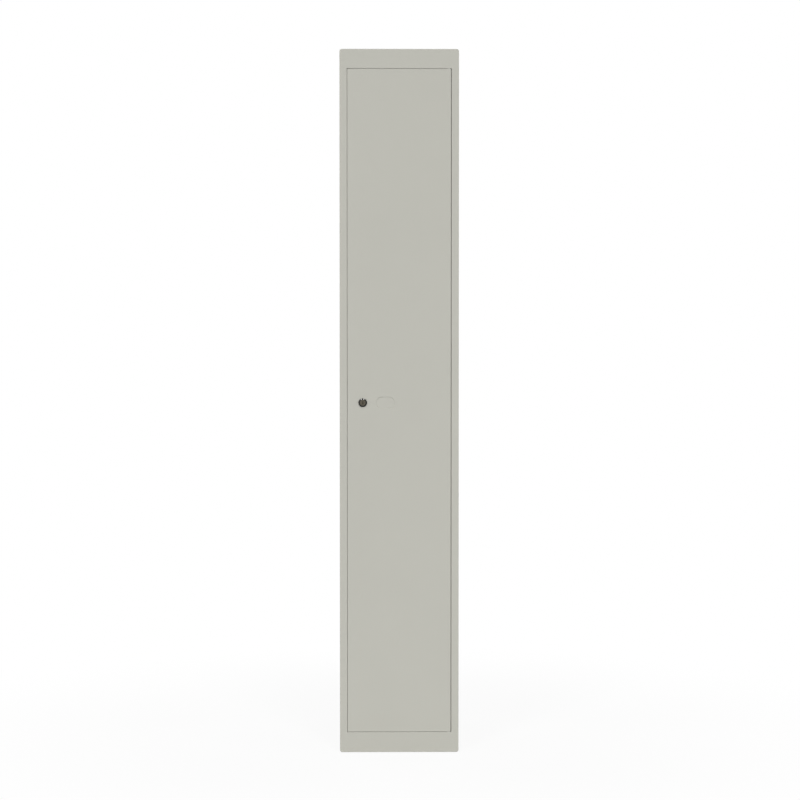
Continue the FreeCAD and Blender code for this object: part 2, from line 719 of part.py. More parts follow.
def lock_housing():
    """Bevelled bezel and barrel in one casting, bored for the plug, with a lug that stops the cam."""
    shoulder = lock_axis(FRONT - BEZEL_RIM)
    bevel_height = BEZEL_PROUD - BEZEL_RIM
    bevel = Part.makeCone(BEZEL_RADIUS, BEZEL_LAND_RADIUS, bevel_height, shoulder, -Y_AXIS)
    bezel = rod(BEZEL_RADIUS, shoulder, lock_axis(FRONT)).fuse(bevel)
    bezel = bezel.makeFillet(BEZEL_ROUND, edges_at(bezel, Y_AXIS, shoulder.y))
    lug_rear = CAM_REAR - LIP_CLEARANCE
    lug = ring_sector((LUG_RADIUS, BARREL_RADIUS), (BARREL_REAR, lug_rear), CAM_TURN / 2, LUG_ANGLE)
    housing = bezel.fuse([barrel_prism(0, (FRONT, BARREL_REAR)), lug])
    mouth = lock_axis(BEZEL_FACE - OVERSHOOT)
    housing = housing.cut(rod(PLUG_RADIUS + FIT, mouth, lock_axis(BARREL_REAR + OVERSHOOT)))
    head_seat = PLUG_FACE + PLUG_HEAD + FIT
    housing = housing.cut(rod(PLUG_HEAD_RADIUS + FIT, mouth, lock_axis(head_seat)))
    return housing.removeSplitter()


def wafer_places():
    """Front face of each wafer tumbler along Y."""
    return [PLUG_FACE + WAFER_START + index * WAFER_PITCH for index in range(WAFER_COUNT)]


def around_lock(half_width, half_height, y_range):
    """A block centred on the lock's axis."""
    return block(
        (LOCK_X - half_width, LOCK_X + half_width),
        y_range,
        (LOCK_HEIGHT - half_height, LOCK_HEIGHT + half_height),
    )


def lock_plug():
    """Turning plug with a flanged face, keyway, tumbler slots and a square tail."""
    plug = rod(PLUG_RADIUS, lock_axis(PLUG_FACE), lock_axis(BARREL_REAR))
    head = rod(PLUG_HEAD_RADIUS, lock_axis(PLUG_FACE), lock_axis(PLUG_FACE + PLUG_HEAD))
    tail = around_lock(TAIL_SIDE / 2, TAIL_SIDE / 2, (BARREL_REAR - OVERSHOOT, CAM_REAR))
    plug = plug.fuse([head, tail])
    keyway = around_lock(
        KEYWAY_WIDTH / 2, KEYWAY_HEIGHT / 2, (PLUG_FACE - OVERSHOOT, PLUG_FACE + KEYWAY_DEPTH)
    )
    plug = plug.cut(keyway)
    for place in wafer_places():
        slot = around_lock(
            WAFER_WIDTH / 2 + FIT,
            WAFER_LENGTH / 2 + FIT,
            (place - FIT, place + WAFER_THICKNESS + FIT),
        )
        plug = plug.cut(slot)
    screw_end = lock_axis(CAM_REAR - CAM_SCREW_LENGTH)
    plug = plug.cut(rod(CAM_SCREW_RADIUS + FIT, screw_end, lock_axis(CAM_REAR + OVERSHOOT)))
    return plug.removeSplitter()


def lock_wafers():
    """Sprung wafer tumblers, each with a window that the key passes through."""
    wafers = []
    window_height = KEYWAY_HEIGHT / 2 + WAFER_WINDOW_MARGIN
    window_width = KEYWAY_WIDTH / 2 + FIT
    for place in wafer_places():
        thick = (place, place + WAFER_THICKNESS)
        wafer = around_lock(WAFER_WIDTH / 2, WAFER_LENGTH / 2, thick)
        wafers.append(wafer.cut(around_lock(window_width, window_height, thick)))
    return Part.makeCompound(wafers)


def hexagon(across_flats, y):
    """Hexagon across the lock's axis, with flats to the left and right."""
    radius = across_flats / math.sqrt(3)
    corners = [
        lock_axis(y) + Vector(radius * math.sin(turn), 0, radius * math.cos(turn))
        for turn in (index * math.pi / 3 for index in range(6))
    ]
    return Part.Face(Part.makePolygon(corners + corners[:1]))


def lock_washer():
    """Plain washer between the nut and the door."""
    near = FRONT + SHEET
    ring = rod(WASHER_RADIUS, lock_axis(near), lock_axis(near + WASHER_THICKNESS))
    bore = rod(BARREL_RADIUS + BARREL_CLEARANCE, lock_axis(near - OVERSHOOT), lock_axis(BARREL_REAR))
    return ring.cut(bore)


def lock_nut():
    """Hexagon nut that clamps the lock to the door, with its rear corners turned off."""
    near = FRONT + SHEET + WASHER_THICKNESS
    far = near + NUT_THICKNESS
    nut = hexagon(NUT_ACROSS_FLATS, near).extrude(Y_AXIS * NUT_THICKNESS)
    wide = NUT_ACROSS_FLATS / 2 + NUT_THICKNESS
    turned = Part.makeCone(wide, NUT_ACROSS_FLATS / 2, NUT_THICKNESS, lock_axis(near), Y_AXIS)
    nut = nut.common(turned)
    return nut.cut(rod(BARREL_RADIUS + FIT, lock_axis(near - OVERSHOOT), lock_axis(far + OVERSHOOT)))


def lock_cam():
    """Flat cam on the plug's tail, hanging down when the lock is open, notched for the stop lug."""
    axis = lock_axis(CAM_FRONT)
    half_tip = CAM_TIP_WIDTH / 2
    tip_centre = axis - Z_AXIS * (CAM_REACH - half_tip)
    spread = math.asin((CAM_ROOT_RADIUS - half_tip) / (CAM_REACH - half_tip))
    flank = Vector(math.cos(spread), 0, -math.sin(spread))
    mirrored = Vector(-flank.x, 0, flank.z)
    root_right = axis + flank * CAM_ROOT_RADIUS
    root_left = axis + mirrored * CAM_ROOT_RADIUS
    tip_right = tip_centre + flank * half_tip
    tip_left = tip_centre + mirrored * half_tip
    outline = Part.Wire(
        [
            Part.Arc(root_left, axis + Z_AXIS * CAM_ROOT_RADIUS, root_right).toShape(),
            Part.LineSegment(root_right, tip_right).toShape(),
            Part.Arc(tip_right, axis - Z_AXIS * CAM_REACH, tip_left).toShape(),
            Part.LineSegment(tip_left, root_left).toShape(),
        ]
    )
    cam = Part.Face(outline).extrude(Y_AXIS * CAM_THICKNESS)
    socket = TAIL_SIDE / 2 + FIT
    through = (CAM_FRONT - OVERSHOOT, CAM_REAR + OVERSHOOT)
    notch_spread = CAM_TURN + LUG_ANGLE + 2 * LUG_PLAY
    notch = ring_sector((CAM_NOTCH_RADIUS, CAM_ROOT_RADIUS + OVERSHOOT), through, 0, notch_spread)
    return cam.cut(around_lock(socket, socket, through)).cut(notch)


def cam_screw():
    """Domed screw that holds the cam on the plug, with a cross recess."""
    end = CAM_REAR - CAM_SCREW_LENGTH
    shank = rod(CAM_SCREW_RADIUS, lock_axis(end), lock_axis(CAM_REAR))
    head = dome(CAM_SCREW_HEAD_RADIUS, CAM_SCREW_HEAD, lock_axis(CAM_REAR), Y_AXIS)
    screw = shank.fuse(head)
    head_top = CAM_REAR + CAM_SCREW_HEAD
    bite = (head_top - CROSS_DEPTH, head_top + OVERSHOOT)
    for half_width, half_height in ((CROSS_ARM / 2, CROSS_WIDTH / 2), (CROSS_WIDTH / 2, CROSS_ARM / 2)):
        screw = screw.cut(around_lock(half_width, half_height, bite))
    return screw.removeSplitter()


PIECES = [
    left_side_panel,
    right_side_panel,
    top_panel,
    floor_pan,
    back_panel,
    hat_shelf,
    coat_hook,
    coat_hook_rivets,
    lock_keeper,
    door_buffers,
    lower_hinge_pin,
    upper_hinge_pin,
    door_skin,
    door_stiffener,
    lower_pivot_plate,
    upper_pivot_plate,
    lower_hinge_bush,
    upper_hinge_bush,
    lock_housing,
    lock_washer,
    lock_nut,
    lock_plug,
    lock_wafers,
    lock_cam,
    cam_screw,
]


def main():
    """Build each piece and write it as a STEP file under its own name."""
    os.makedirs("parts", exist_ok=True)
    for build in PIECES:
        shape = build()
        solids = shape.Solids
        valid = all(solid.isValid() and solid.isClosed() for solid in solids)
        volume = sum(solid.Volume for solid in solids)
        print(f"{build.__name__}: {len(solids)} solids, {volume:.1f} mm3, valid {valid}")
        written = solids[0] if len(solids) == 1 else Part.makeCompound(solids)
        written.exportStep(os.path.join("parts", build.__name__ + ".step"))


main()
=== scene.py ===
"""Looks of a tall steel clothes locker: paint, plating, weld marks and a lock thread, in a plain studio.

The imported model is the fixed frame. Sizes are in metres, on the frame's axes:
+X is to the right seen from the front, +Y goes into the locker and +Z is up.
"""

import json
import logging
import math
from dataclasses import dataclass
from enum import Enum
from typing import Any, ClassVar, Iterable, Optional, Union

import bpy
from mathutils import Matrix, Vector


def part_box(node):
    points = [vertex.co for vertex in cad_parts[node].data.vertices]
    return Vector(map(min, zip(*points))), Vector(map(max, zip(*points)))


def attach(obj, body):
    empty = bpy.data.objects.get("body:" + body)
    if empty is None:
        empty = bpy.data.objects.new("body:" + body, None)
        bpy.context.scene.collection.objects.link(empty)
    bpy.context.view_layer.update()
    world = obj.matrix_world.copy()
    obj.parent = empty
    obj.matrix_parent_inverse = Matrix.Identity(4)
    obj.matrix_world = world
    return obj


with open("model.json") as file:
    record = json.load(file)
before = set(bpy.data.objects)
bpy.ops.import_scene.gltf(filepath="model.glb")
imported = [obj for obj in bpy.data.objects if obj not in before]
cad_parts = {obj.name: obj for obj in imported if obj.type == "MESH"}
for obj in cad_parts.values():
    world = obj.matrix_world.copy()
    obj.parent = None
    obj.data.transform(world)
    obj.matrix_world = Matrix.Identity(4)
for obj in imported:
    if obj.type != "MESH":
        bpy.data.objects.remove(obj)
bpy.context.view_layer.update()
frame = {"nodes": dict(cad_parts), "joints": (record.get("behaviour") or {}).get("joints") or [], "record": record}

MILLIMETRE = 0.001
MICRON = 0.000001
PATTERN_MEAN = 0.5

Colour = tuple[float, float, float]
Value = Union[float, "Link"]

WHITE: Colour = (1.0, 1.0, 1.0)

log = logging.getLogger("locker")


class Body(Enum):
    """Bodies of the locker that carry added pieces."""

    CARCASS = "carcass"
    DOOR = "door"


class Slot(Enum):
    """Material slots of the record."""

    PAINT = "grey_paint"
    BEZEL = "lock_black"
    NICKEL = "lock_nickel"
    ZINC = "zinc"
    BRASS = "brass"
    NYLON = "nylon"
    RUBBER = "rubber"


class Facing(Enum):
    """Ways that a face can look."""

    FRONT = (0.0, -1.0, 0.0)
    REAR = (0.0, 1.0, 0.0)
    LEFT = (-1.0, 0.0, 0.0)
    RIGHT = (1.0, 0.0, 0.0)
    UP = (0.0, 0.0, 1.0)
    DOWN = (0.0, 0.0, -1.0)


class Grain(Enum):
    """Marks that a way of working metal leaves on it."""

    TURNED = "turned"
    TUMBLED = "tumbled"


class Link:
    """An output socket that takes part in Python sums, each of which adds a Math node."""

    def __init__(self, socket: bpy.types.NodeSocket) -> None:
        """Hold the socket that the value comes from."""
        self.socket = socket

    def _math(self, operation: str, first: Value, second: Value) -> "Link":
        """The result of a Math node that is added to the socket's tree."""
        nodes = NodeBuilder(self.socket.id_data)
        return nodes.add("ShaderNodeMath", {"operation": operation}, {"Value": first, "Value_001": second})

    def __add__(self, other: Value) -> "Link":
        """This value plus another."""
        return self._math("ADD", self, other)

    def __radd__(self, other: float) -> "Link":
        """A number plus this value."""
        return self._math("ADD", other, self)

    def __sub__(self, other: Value) -> "Link":
        """This value less another."""
        return self._math("SUBTRACT", self, other)

    def __rsub__(self, other: float) -> "Link":
        """A number less this value."""
        return self._math("SUBTRACT", other, self)

    def __mul__(self, other: Value) -> "Link":
        """This value times another."""
        return self._math("MULTIPLY", self, other)

    def __rmul__(self, other: float) -> "Link":
        """A number times this value."""
        return self._math("MULTIPLY", other, self)

    def __truediv__(self, other: Value) -> "Link":
        """This value divided by another."""
        return self._math("DIVIDE", self, other)

    def __rtruediv__(self, other: float) -> "Link":
        """A number divided by this value."""
        return self._math("DIVIDE", other, self)


class NodeBuilder:
    """Adds nodes to one tree."""

    def __init__(self, tree: bpy.types.NodeTree) -> None:
        """Hold the tree that the nodes go into."""
        self.tree = tree

    @staticmethod
    def find(sockets: Iterable[bpy.types.NodeSocket], name: str) -> bpy.types.NodeSocket:
        """Find a socket by its identifier, or else by its name.

        Args:
            sockets: Inputs or outputs of a node.
            name: Identifier or name to look for.

        Returns:
            The socket.
        """
        by_name = {socket.name: socket for socket in reversed(list(sockets))}
        by_identifier = {socket.identifier: socket for socket in sockets}
        return by_identifier.get(name) or by_name[name]

    def connect(self, socket: bpy.types.NodeSocket, value: Any) -> None:
        """Feed an input socket.

        Args:
            socket: The input.
            value: A link, or a plain value; a colour may leave out its alpha.
        """
        if isinstance(value, Link):
            self.tree.links.new(value.socket, socket)
        elif socket.type == "RGBA":
            socket.default_value = (*value[:3], 1.0)
        else:
            socket.default_value = value

    def add(
        self,
        kind: str,
        settings: Optional[dict[str, Any]] = None,
        sockets: Optional[dict[str, Any]] = None,
        output: str = "",
    ) -> Link:
        """Add one node.

        Args:
            kind: Blender's name of the node's type.
            settings: Properties of the node, which are set first.
            sockets: Values or links of its inputs, by identifier or name.
            output: Identifier or name of the output to return, or nothing for the first in use.

        Returns:
            A link from that output.
        """
        node = self.tree.nodes.new(kind)
        for name, value in (settings or {}).items():
            setattr(node, name, value)
        for name, value in (sockets or {}).items():
            self.connect(self.find(node.inputs, name), value)
        if output:
            return Link(self.find(node.outputs, output))
        return Link(next(socket for socket in node.outputs if socket.enabled))

    def seen_directly(self) -> Link:
        """Tell the rays that show a surface from those that only carry its light.

        Returns:
            One for rays from the camera, or by way of gloss or glass, and else nothing.
        """
        rays = ("Is Camera Ray", "Is Glossy Ray", "Is Transmission Ray")
        camera, gloss, glass = (self.add("ShaderNodeLightPath", output=ray) for ray in rays)
        return camera + gloss + glass


class Shader(NodeBuilder):
    """The nodes of one material, round its Principled BSDF."""

    def __init__(self, name: str) -> None:
        """Start a material whose patterns read Object coordinates.

        Args:
            name: Name of the material.
        """
        self.material = bpy.data.materials.new(name)
        self.material.use_nodes = True
        super().__init__(self.material.node_tree)
        self.surface = next(node for node in self.tree.nodes if node.type == "BSDF_PRINCIPLED")
        self.place = self.add("ShaderNodeTexCoord", output="Object")

    def noise(self, size: float, detail: float = 2.0) -> Link:
        """Cloudy noise from 0 to 1, in patches of a size, with octaves of finer detail."""
        sockets = {"Vector": self.place, "Scale": 1 / size, "Detail": detail}
        return self.add("ShaderNodeTexNoise", {"noise_dimensions": "3D"}, sockets, "Fac")

    def rings(self, centre: Vector, pitch: float, waver: float) -> Link:
        """Add rings round an axis along Y, as a lathe leaves them.

        Args:
            centre: A point on the axis.
            pitch: Distance from ring to ring.
            waver: How far the rings stray.

        Returns:
            A link from 0 to 1.
        """
        wave_length_at_scale_one = math.pi / 10
        sockets = {"Vector": self.place, "Vector_001": centre}
        moved = self.add("ShaderNodeVectorMath", {"operation": "SUBTRACT"}, sockets)
        settings = {"wave_type": "RINGS", "rings_direction": "Y"}
        sockets = {"Vector": moved, "Scale": wave_length_at_scale_one / pitch, "Distortion": waver}
        return self.add("ShaderNodeTexWave", settings, sockets, "Fac")

    def blend(self, amount: Value, first: Any, second: Any) -> Link:
        """Two colours mixed, where the amount is the share of the second."""
        sockets = {"Factor_Float": amount, "A_Color": first, "B_Color": second}
        return self.add("ShaderNodeMix", {"data_type": "RGBA"}, sockets, "Result_Color")

    def bump(self, height: Link, depth: float, under: Optional[Link] = None) -> Link:
        """Raise the surface.

        Args:
            height: Height from 0 to 1.
            depth: Real height of a full step.
            under: A normal that this one is laid over.

        Returns:
            The new normal.
        """
        sockets: dict[str, Any] = {"Height": height, "Distance": depth}
        if under is not None:
            sockets["Normal"] = under
        return self.add("ShaderNodeBump", None, sockets, "Normal")

    def finish(self, sockets: dict[str, Any]) -> bpy.types.Material:
        """Feed the Principled BSDF.

        Args:
            sockets: Values or links by the shader's socket names.

        Returns:
            The finished material.
        """
        for name, value in sockets.items():
            self.connect(self.surface.inputs[name], value)
        return self.material


def tones(colour: Colour, share: float) -> tuple[Colour, Colour]:
    """A colour made darker and made lighter by a share of itself."""
    return tuple(tuple(min(1.0, channel * gain) for channel in colour) for gain in (1 - share, 1 + share))


def varied(level: float, swing: float, pattern: Link) -> Link:
    """A level that swings to both sides as a pattern goes from 0 to 1."""
    return level + swing * (pattern - PATTERN_MEAN)


@dataclass(frozen=True)
class PowderCoat:
    """Satin powder coat on folded sheet: a fine orange peel over slightly wavy steel."""

    name: str = "grey_powder_coat"
    colour: Colour = (0.500, 0.496, 0.445)
    tone_share: float = 0.035
    cloud_size: float = 160 * MILLIMETRE
    cloud_share: float = 0.55
    speck_size: float = 1.6 * MILLIMETRE
    roughness: float = 0.46
    roughness_swing: float = 0.12
    peel_size: float = 1.5 * MILLIMETRE
    peel_depth: float = 30 * MICRON
    wave_size: float = 240 * MILLIMETRE
    wave_depth: float = 220 * MICRON

    def material(self) -> bpy.types.Material:
        """Mix the paint.

        Returns:
            The paint as a material.
        """
        shader = Shader(self.name)
        peel = shader.noise(self.peel_size, detail=1.0)
        wave = shader.noise(self.wave_size, detail=1.0)
        clouds = self.cloud_share * shader.noise(self.cloud_size)
        specks = (1 - self.cloud_share) * shader.noise(self.speck_size)
        return shader.finish(
            {
                "Base Color": shader.blend(clouds + specks, *tones(self.colour, self.tone_share)),
                "Roughness": varied(self.roughness, self.roughness_swing, peel),
                "Normal": shader.bump(peel, self.peel_depth, shader.bump(wave, self.wave_depth)),
            }
        )


@dataclass(frozen=True)
class BezelEnamel:
    """Gloss black enamel on a zinc casting, which is bare behind the door's face."""

    door_face: float
    name: str = "gloss_black_bezel"
    colour: Colour = (0.007, 0.006, 0.003)
    tone_share: float = 0.2
    gloss: float = 0.36
    roughness: float = 0.13
    roughness_swing: float = 0.06
    flow_size: float = 3 * MILLIMETRE
    flow_depth: float = 18 * MICRON
    speck_size: float = 0.6 * MILLIMETRE
    enamel_edge: float = 0.4 * MILLIMETRE
    bare_colour: Colour = (0.55, 0.55, 0.53)
    bare_tone_share: float = 0.15
    bare_roughness: float = 0.42

    def _bare(self, shader: Shader) -> Link:
        """Find where the casting has no enamel.

        Args:
            shader: Nodes of the material.

        Returns:
            One on bare metal and nothing on enamel.
        """
        depth = shader.add("ShaderNodeSeparateXYZ", None, {"Vector": shader.place}, "Y")
        sockets = {"Value": depth, "Value_001": self.door_face + self.enamel_edge}
        return shader.add("ShaderNodeMath", {"operation": "GREATER_THAN"}, sockets)

    def material(self) -> bpy.types.Material:
        """Coat the casting.

        Returns:
            The enamel and the bare casting as one material.
        """
        shader = Shader(self.name)
        bare = self._bare(shader)
        speck = shader.noise(self.speck_size)
        flow = shader.noise(self.flow_size, detail=1.0)
        enamel = shader.blend(speck, *tones(self.colour, self.tone_share))
        casting = shader.blend(speck, *tones(self.bare_colour, self.bare_tone_share))
        roughness = varied(self.roughness, self.roughness_swing, speck)
        return shader.finish(
            {
                "Base Color": shader.blend(bare, enamel, casting),
                "Roughness": roughness + (self.bare_roughness - self.roughness) * bare,
                "Metallic": bare,
                "Specular IOR Level": self.gloss,
                "Normal": shader.bump(flow, self.flow_depth),
            }
        )


@dataclass(frozen=True)
class PlatedMetal:
    """Bright metal with the marks of how it was worked."""

    name: str
    colour: Colour
    roughness: float
    grain: Grain
    grain_size: float
    grain_depth: float
    centre: Vector = Vector((0.0, 0.0, 0.0))
    tone_share: float = 0.14
    mottle_size: float = 6 * MILLIMETRE
    mottle_share: float = 0.6
    roughness_swing: float = 0.16
    ring_waver: float = 0.4

    def _marks(self, shader: Shader) -> Link:
        """Add the working marks.

        Args:
            shader: Nodes of the material.

        Returns:
            A link from 0 to 1.
        """
        if self.grain is Grain.TURNED:
            return shader.rings(self.centre, self.grain_size, self.ring_waver)
        return shader.noise(self.grain_size, detail=3.0)

    def material(self) -> bpy.types.Material:
        """Plate the metal.

        Returns:
            The metal as a material.
        """
        shader = Shader(self.name)
        marks = self._marks(shader)
        mottle = shader.noise(self.mottle_size)
        tone = self.mottle_share * mottle + (1 - self.mottle_share) * marks
        return shader.finish(
            {
                "Base Color": shader.blend(tone, *tones(self.colour, self.tone_share)),
                "Metallic": 1.0,
                "Roughness": varied(self.roughness, self.roughness_swing, mottle),
                "Normal": shader.bump(marks, self.grain_depth),
            }
        )


@dataclass(frozen=True)
class Moulding:
    """Moulded plastic or rubber with a fine stipple from the mould."""

    name: str
    colour: Colour
    roughness: float
    stipple_size: float
    stipple_depth: float
    tone_share: float = 0.08
    cloud_size: float = 4 * MILLIMETRE
    roughness_swing: float = 0.15

    def material(self) -> bpy.types.Material:
        """Mix the plastic or rubber.

        Returns:
            The moulding as a material.
        """
        shader = Shader(self.name)
        stipple = shader.noise(self.stipple_size, detail=1.0)
        cloud = shader.noise(self.cloud_size)
        return shader.finish(
            {
                "Base Color": shader.blend(cloud, *tones(self.colour, self.tone_share)),
                "Roughness": varied(self.roughness, self.roughness_swing, stipple),
                "Normal": shader.bump(stipple, self.stipple_depth),
            }
        )


class FinishBook:
    """Every finish of the locker, made once and found by its slot."""

    def __init__(self) -> None:
        """Make the materials."""
        finishes = {
            Slot.PAINT: PowderCoat(),
            Slot.BEZEL: BezelEnamel(door_face=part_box("door_skin")[0].y),
            Slot.NICKEL: PlatedMetal(
                "black_nickel_plug",
                colour=(0.116, 0.104, 0.080),
                roughness=0.30,
                grain=Grain.TURNED,
                grain_size=0.45 * MILLIMETRE,
                grain_depth=12 * MICRON,
                centre=joint_place("lock_turn"),
            ),
            Slot.ZINC: PlatedMetal(
                "bright_zinc",
                colour=(0.62, 0.62, 0.60),
                roughness=0.36,
                grain=Grain.TUMBLED,
                grain_size=0.9 * MILLIMETRE,
                grain_depth=9 * MICRON,
            ),
            Slot.BRASS: PlatedMetal(
                "stamped_brass",
                colour=(0.70, 0.52, 0.24),
                roughness=0.32,
                grain=Grain.TUMBLED,
                grain_size=0.5 * MILLIMETRE,
                grain_depth=5 * MICRON,
            ),
            Slot.NYLON: Moulding(
                "natural_nylon",
                colour=(0.84, 0.83, 0.78),
                roughness=0.48,
                stipple_size=0.7 * MILLIMETRE,
                stipple_depth=8 * MICRON,
            ),
            Slot.RUBBER: Moulding(
                "black_rubber",
                colour=(0.035, 0.035, 0.036),
                roughness=0.72,
                stipple_size=0.6 * MILLIMETRE,
                stipple_depth=20 * MICRON,
            ),
        }
        self.materials = {slot: finish.material() for slot, finish in finishes.items()}
        self.node_slots = {part["node"]: Slot(part["material_slot"]) for part in frame["record"]["subparts"]}

    def apply(self, node: str) -> Slot:
        """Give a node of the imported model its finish.

        Args:
            node: Name of the node.

        Returns:
            The slot that the finish came from.
        """
        slot = self.node_slots[node]
        frame["nodes"][node].material_slots[0].material = self.materials[slot]
        return slot


def joint_place(name: str) -> Vector:
    """A point on the axis of a joint."""
    return Vector(next(joint["pos_m"] for joint in frame["joints"] if joint["name"] == name))


class GeometryRecipe(NodeBuilder):
    """A Geometry Nodes tree with named inputs, whose result becomes a plain mesh."""

    def __init__(self, name: str) -> None:
        """Start a tree with one geometry input and one geometry output.

        Args:
            name: Name of the tree.
        """
        super().__init__(bpy.data.node_groups.new(name, "GeometryNodeTree"))
        self.entry = self.tree.nodes.new("NodeGroupInput")
        self.way_out = self.tree.nodes.new("NodeGroupOutput")
        self.identifiers: dict[str, str] = {}
        self.start = self.take("Geometry", "NodeSocketGeometry")
        self.tree.interface.new_socket("Geometry", in_out="OUTPUT", socket_type="NodeSocketGeometry")

    def take(self, name: str, kind: str = "NodeSocketFloat") -> Link:
        """Add a named input.

        Args:
            name: Name of the input.
            kind: Type of its socket.

        Returns:
            A link from the input.
        """
        socket = self.tree.interface.new_socket(name, in_out="INPUT", socket_type=kind)
        self.identifiers[name] = socket.identifier
        return Link(self.find(self.entry.outputs, socket.identifier))

    def circle(self, radius: Link, points: int) -> Link:
        """A round curve, or with few points a many-sided one."""
        return self.add("GeometryNodeCurvePrimitiveCircle", None, {"Resolution": points, "Radius": radius})

    def give(self, shape: Link, material: Link) -> None:
        """End the tree with a plain, smooth mesh.

        Args:
            shape: The geometry to hand out.
            material: The material that it takes.
        """
        plain = self.add("GeometryNodeRealizeInstances", None, {"Geometry": shape})
        smooth = self.add("GeometryNodeSetShadeSmooth", None, {"Geometry": plain})
        dressed = self.add("GeometryNodeSetMaterial", None, {"Geometry": smooth, "Material": material})
        self.connect(self.way_out.inputs[0], dressed)

    def piece(self, name: str, start: bpy.types.Mesh, values: dict[str, Any]) -> bpy.types.Object:
        """Run the tree.

        Args:
            name: Name of the piece.
            start: Mesh that the tree starts from.
            values: Values of the named inputs.

        Returns:
            An object at the origin with the result as its mesh.
        """
        made = bpy.data.objects.new(name, start)
        bpy.context.scene.collection.objects.link(made)
        modifier = made.modifiers.new(self.tree.name, "NODES")
        modifier.node_group = self.tree
        for label, value in values.items():
            modifier[self.identifiers[label]] = value
        graph = bpy.context.evaluated_depsgraph_get()
        result = bpy.data.meshes.new_from_object(made.evaluated_get(graph), depsgraph=graph)
        made.modifiers.remove(modifier)
        made.data = result
        result.name = name
        return made


@dataclass(frozen=True)
class WeldRow:
    """A straight row of spot welds on one face."""

    start: Vector
    end: Vector
    facing: Facing
    pitch: float

    def places(self) -> list[Vector]:
        """The middles of the welds, evenly spaced from end to end."""
        steps = max(1, round((self.end - self.start).length / self.pitch))
        return [self.start.lerp(self.end, index / steps) for index in range(steps + 1)]


class WeldMarks(GeometryRecipe):
    """Low rings that the tips of a spot welder press up in the sheet."""

    RING_RADIUS = 2.6 * MILLIMETRE
    RING_POINTS = 16
    BEAD_RADIUS = 0.16 * MILLIMETRE
    BEAD_POINTS = 6

    def __init__(self) -> None:
        """Build the tree: one ring for each point, square to the way that the point faces."""
        super().__init__("spot_weld_rings")
        ring_radius = self.take("Ring radius")
        bead_radius = self.take("Bead radius")
        material = self.take("Finish", "NodeSocketMaterial")
        ring = self.circle(ring_radius, self.RING_POINTS)
        bead = self.circle(bead_radius, self.BEAD_POINTS)
        mark = self.add("GeometryNodeCurveToMesh", None, {"Curve": ring, "Profile Curve": bead})
        settings = {"data_type": "FLOAT_VECTOR"}
        facing = self.add("GeometryNodeInputNamedAttribute", settings, {"Name": "facing"})
        turn = self.add("FunctionNodeAlignRotationToVector", {"axis": "Z"}, {"Vector": facing})
        sockets = {"Points": self.start, "Instance": mark, "Rotation": turn}
        self.give(self.add("GeometryNodeInstanceOnPoints", None, sockets), material)

    def make(self, name: str, rows: list[WeldRow], material: bpy.types.Material) -> bpy.types.Object:
        """Make the marks of one body.

        Args:
            name: Name of the piece.
            rows: Rows of welds.
            material: Paint over the welds.

        Returns:
            The piece.
        """
        places = [(place, row.facing.value) for row in rows for place in row.places()]
        points = bpy.data.meshes.new(name + "_points")
        points.from_pydata([place for place, _ in places], [], [])
        facing = points.attributes.new("facing", "FLOAT_VECTOR", "POINT")
        for item, (_, way) in zip(facing.data, places):
            item.vector = way
        values = {"Ring radius": self.RING_RADIUS, "Bead radius": self.BEAD_RADIUS, "Finish": material}
        return self.piece(name, points, values)


class BarrelThread(GeometryRecipe):
    """The ridge of a screw thread along +Y, cut off at two flats above and below its axis."""

    TURN_STEPS = 40
    SECTION_POINTS = 4

    def __init__(self) -> None:
        """Build the tree: a spiral with a diamond section, its crown and foot pressed flat."""
        super().__init__("barrel_thread")
        radius = self.take("Radius")
        pitch = self.take("Pitch")
        length = self.take("Length")
        ridge = self.take("Ridge")
        flat = self.take("Flat")
        root = self.take("Root", "NodeSocketVector")
        material = self.take("Finish", "NodeSocketMaterial")
        spiral = self.add(
            "GeometryNodeCurveSpiral",
            None,
            {
                "Resolution": self.TURN_STEPS,
                "Rotations": length / pitch,
                "Start Radius": radius,
                "End Radius": radius,
                "Height": length,
            },
        )
        section = self.circle(ridge, self.SECTION_POINTS)
        sockets = {"Curve": spiral, "Profile Curve": section, "Fill Caps": True}
        upright = self.add("GeometryNodeCurveToMesh", None, sockets)
        to_rear = (-math.pi / 2, 0.0, 0.0)
        along = self.add("GeometryNodeTransform", None, {"Geometry": upright, "Rotation": to_rear})
        sockets = {"Geometry": along, "Position": self._between_flats(flat)}
        trimmed = self.add("GeometryNodeSetPosition", None, sockets)
        seated = self.add("GeometryNodeTransform", None, {"Geometry": trimmed, "Translation": root})
        self.give(seated, material)

    def _between_flats(self, flat: Link) -> Link:
        """Keep each point between the two flats.

        Args:
            flat: Distance of a flat from the axis.

        Returns:
            The point's new place.
        """
        place = self.add("GeometryNodeInputPosition")
        x, y, z = (self.add("ShaderNodeSeparateXYZ", None, {"Vector": place}, axis) for axis in "XYZ")
        kept = self.add("ShaderNodeClamp", None, {"Value": z, "Min": 0 - flat, "Max": flat})
        return self.add("ShaderNodeCombineXYZ", None, {"X": x, "Y": y, "Z": kept})


@dataclass
class Assembly:
    """A sub-assembly of the locker: the nodes that it dresses and the pieces that it adds."""

    finishes: FinishBook
    nodes: ClassVar[tuple[str, ...]] = ()

    def dress(self) -> None:
        """Give every node of the sub-assembly its finish."""
        for node in self.nodes:
            slot = self.finishes.apply(node)
            log.info("%s: finish %s", node, slot.value)

    def build(self) -> None:
        """Make the sub-assembly whole."""
        self.dress()

    def keep(self, piece: bpy.types.Object, body: Body, slot: Slot) -> None:
        """Let a new piece move with its body.

        Args:
            piece: The piece, in its place.
            body: Body that carries it.
            slot: Slot that its finish comes from; not used.
        """
        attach(piece, body.value)
        log.info("%s: rides on %s, %d faces", piece.name, body.value, len(piece.data.polygons))


